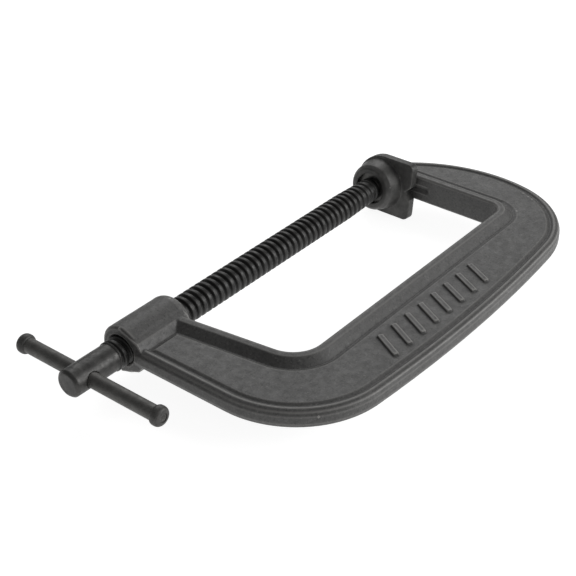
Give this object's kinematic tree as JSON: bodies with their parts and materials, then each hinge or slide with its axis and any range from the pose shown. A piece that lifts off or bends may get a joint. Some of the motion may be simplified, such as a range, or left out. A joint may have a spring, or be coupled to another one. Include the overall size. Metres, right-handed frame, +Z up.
{
  "type": "c clamp",
  "caption": "C clamp: a cast C-shaped frame with a threaded boss, a screw turned by a sliding cross handle, and a swivel pad that closes on a flat anvil.",
  "frame": {"origin": "centre of the anvil face, where the screw's axis meets it", "axes": "+X along the screw from the handle to the anvil, -Y towards the spine, +Z up as the clamp lies flat on its side"},
  "size_m": [0.3626, 0.2014, 0.0432],
  "materials": {
    "cast_iron_grey": "sand cast, satin",
    "blackened_steel": "oil blackened",
    "ball_steel": "turned, oiled",
    "ring_steel": "oil blackened",
    "pad_iron": "sand cast, blackened",
    "handle_steel": "bare, dulled",
    "knob_steel": "turned, dulled"
  },
  "bodies": {
    "frame": {"frame": "cast_iron_grey"},
    "ball": {"swivel_ball": "ball_steel"},
    "screw": {"screw": "blackened_steel"},
    "handle": {"handle_rod": "handle_steel", "handle_knob_front": "knob_steel", "handle_knob_rear": "knob_steel"},
    "keeper": {"pad_retaining_ring": "ring_steel"},
    "pad": {"pad_casting": "pad_iron"}
  },
  "joints": [
    {"name": "screw_feed", "type": "slide", "parent": "frame", "child": "ball", "axis": [-1, 0, 0], "range_m": [-0.0018, 0.202]},
    {"name": "screw_turn", "type": "hinge", "parent": "ball", "child": "screw", "pos_m": [-0.0142, 0, 0], "axis": [-1, 0, 0], "range_deg": [-123, 13725]},
    {"name": "handle_slide", "type": "slide", "parent": "screw", "child": "handle", "axis": [0, 1, 0], "range_m": [-0.036, 0.047]},
    {"name": "pad_tilt", "type": "hinge", "parent": "ball", "child": "keeper", "pos_m": [-0.0142, 0, 0], "axis": [0, -1, 0], "range_deg": [0, 12]},
    {"name": "pad_spin", "type": "hinge", "parent": "keeper", "child": "pad", "pos_m": [-0.0142, 0, 0], "axis": [0.9945, 0, -0.1045], "continuous": true}
  ],
  "couplings": [
    {"joint": "screw_turn", "follows": "screw_feed", "rad_per_m": 1185.5}
  ]
}
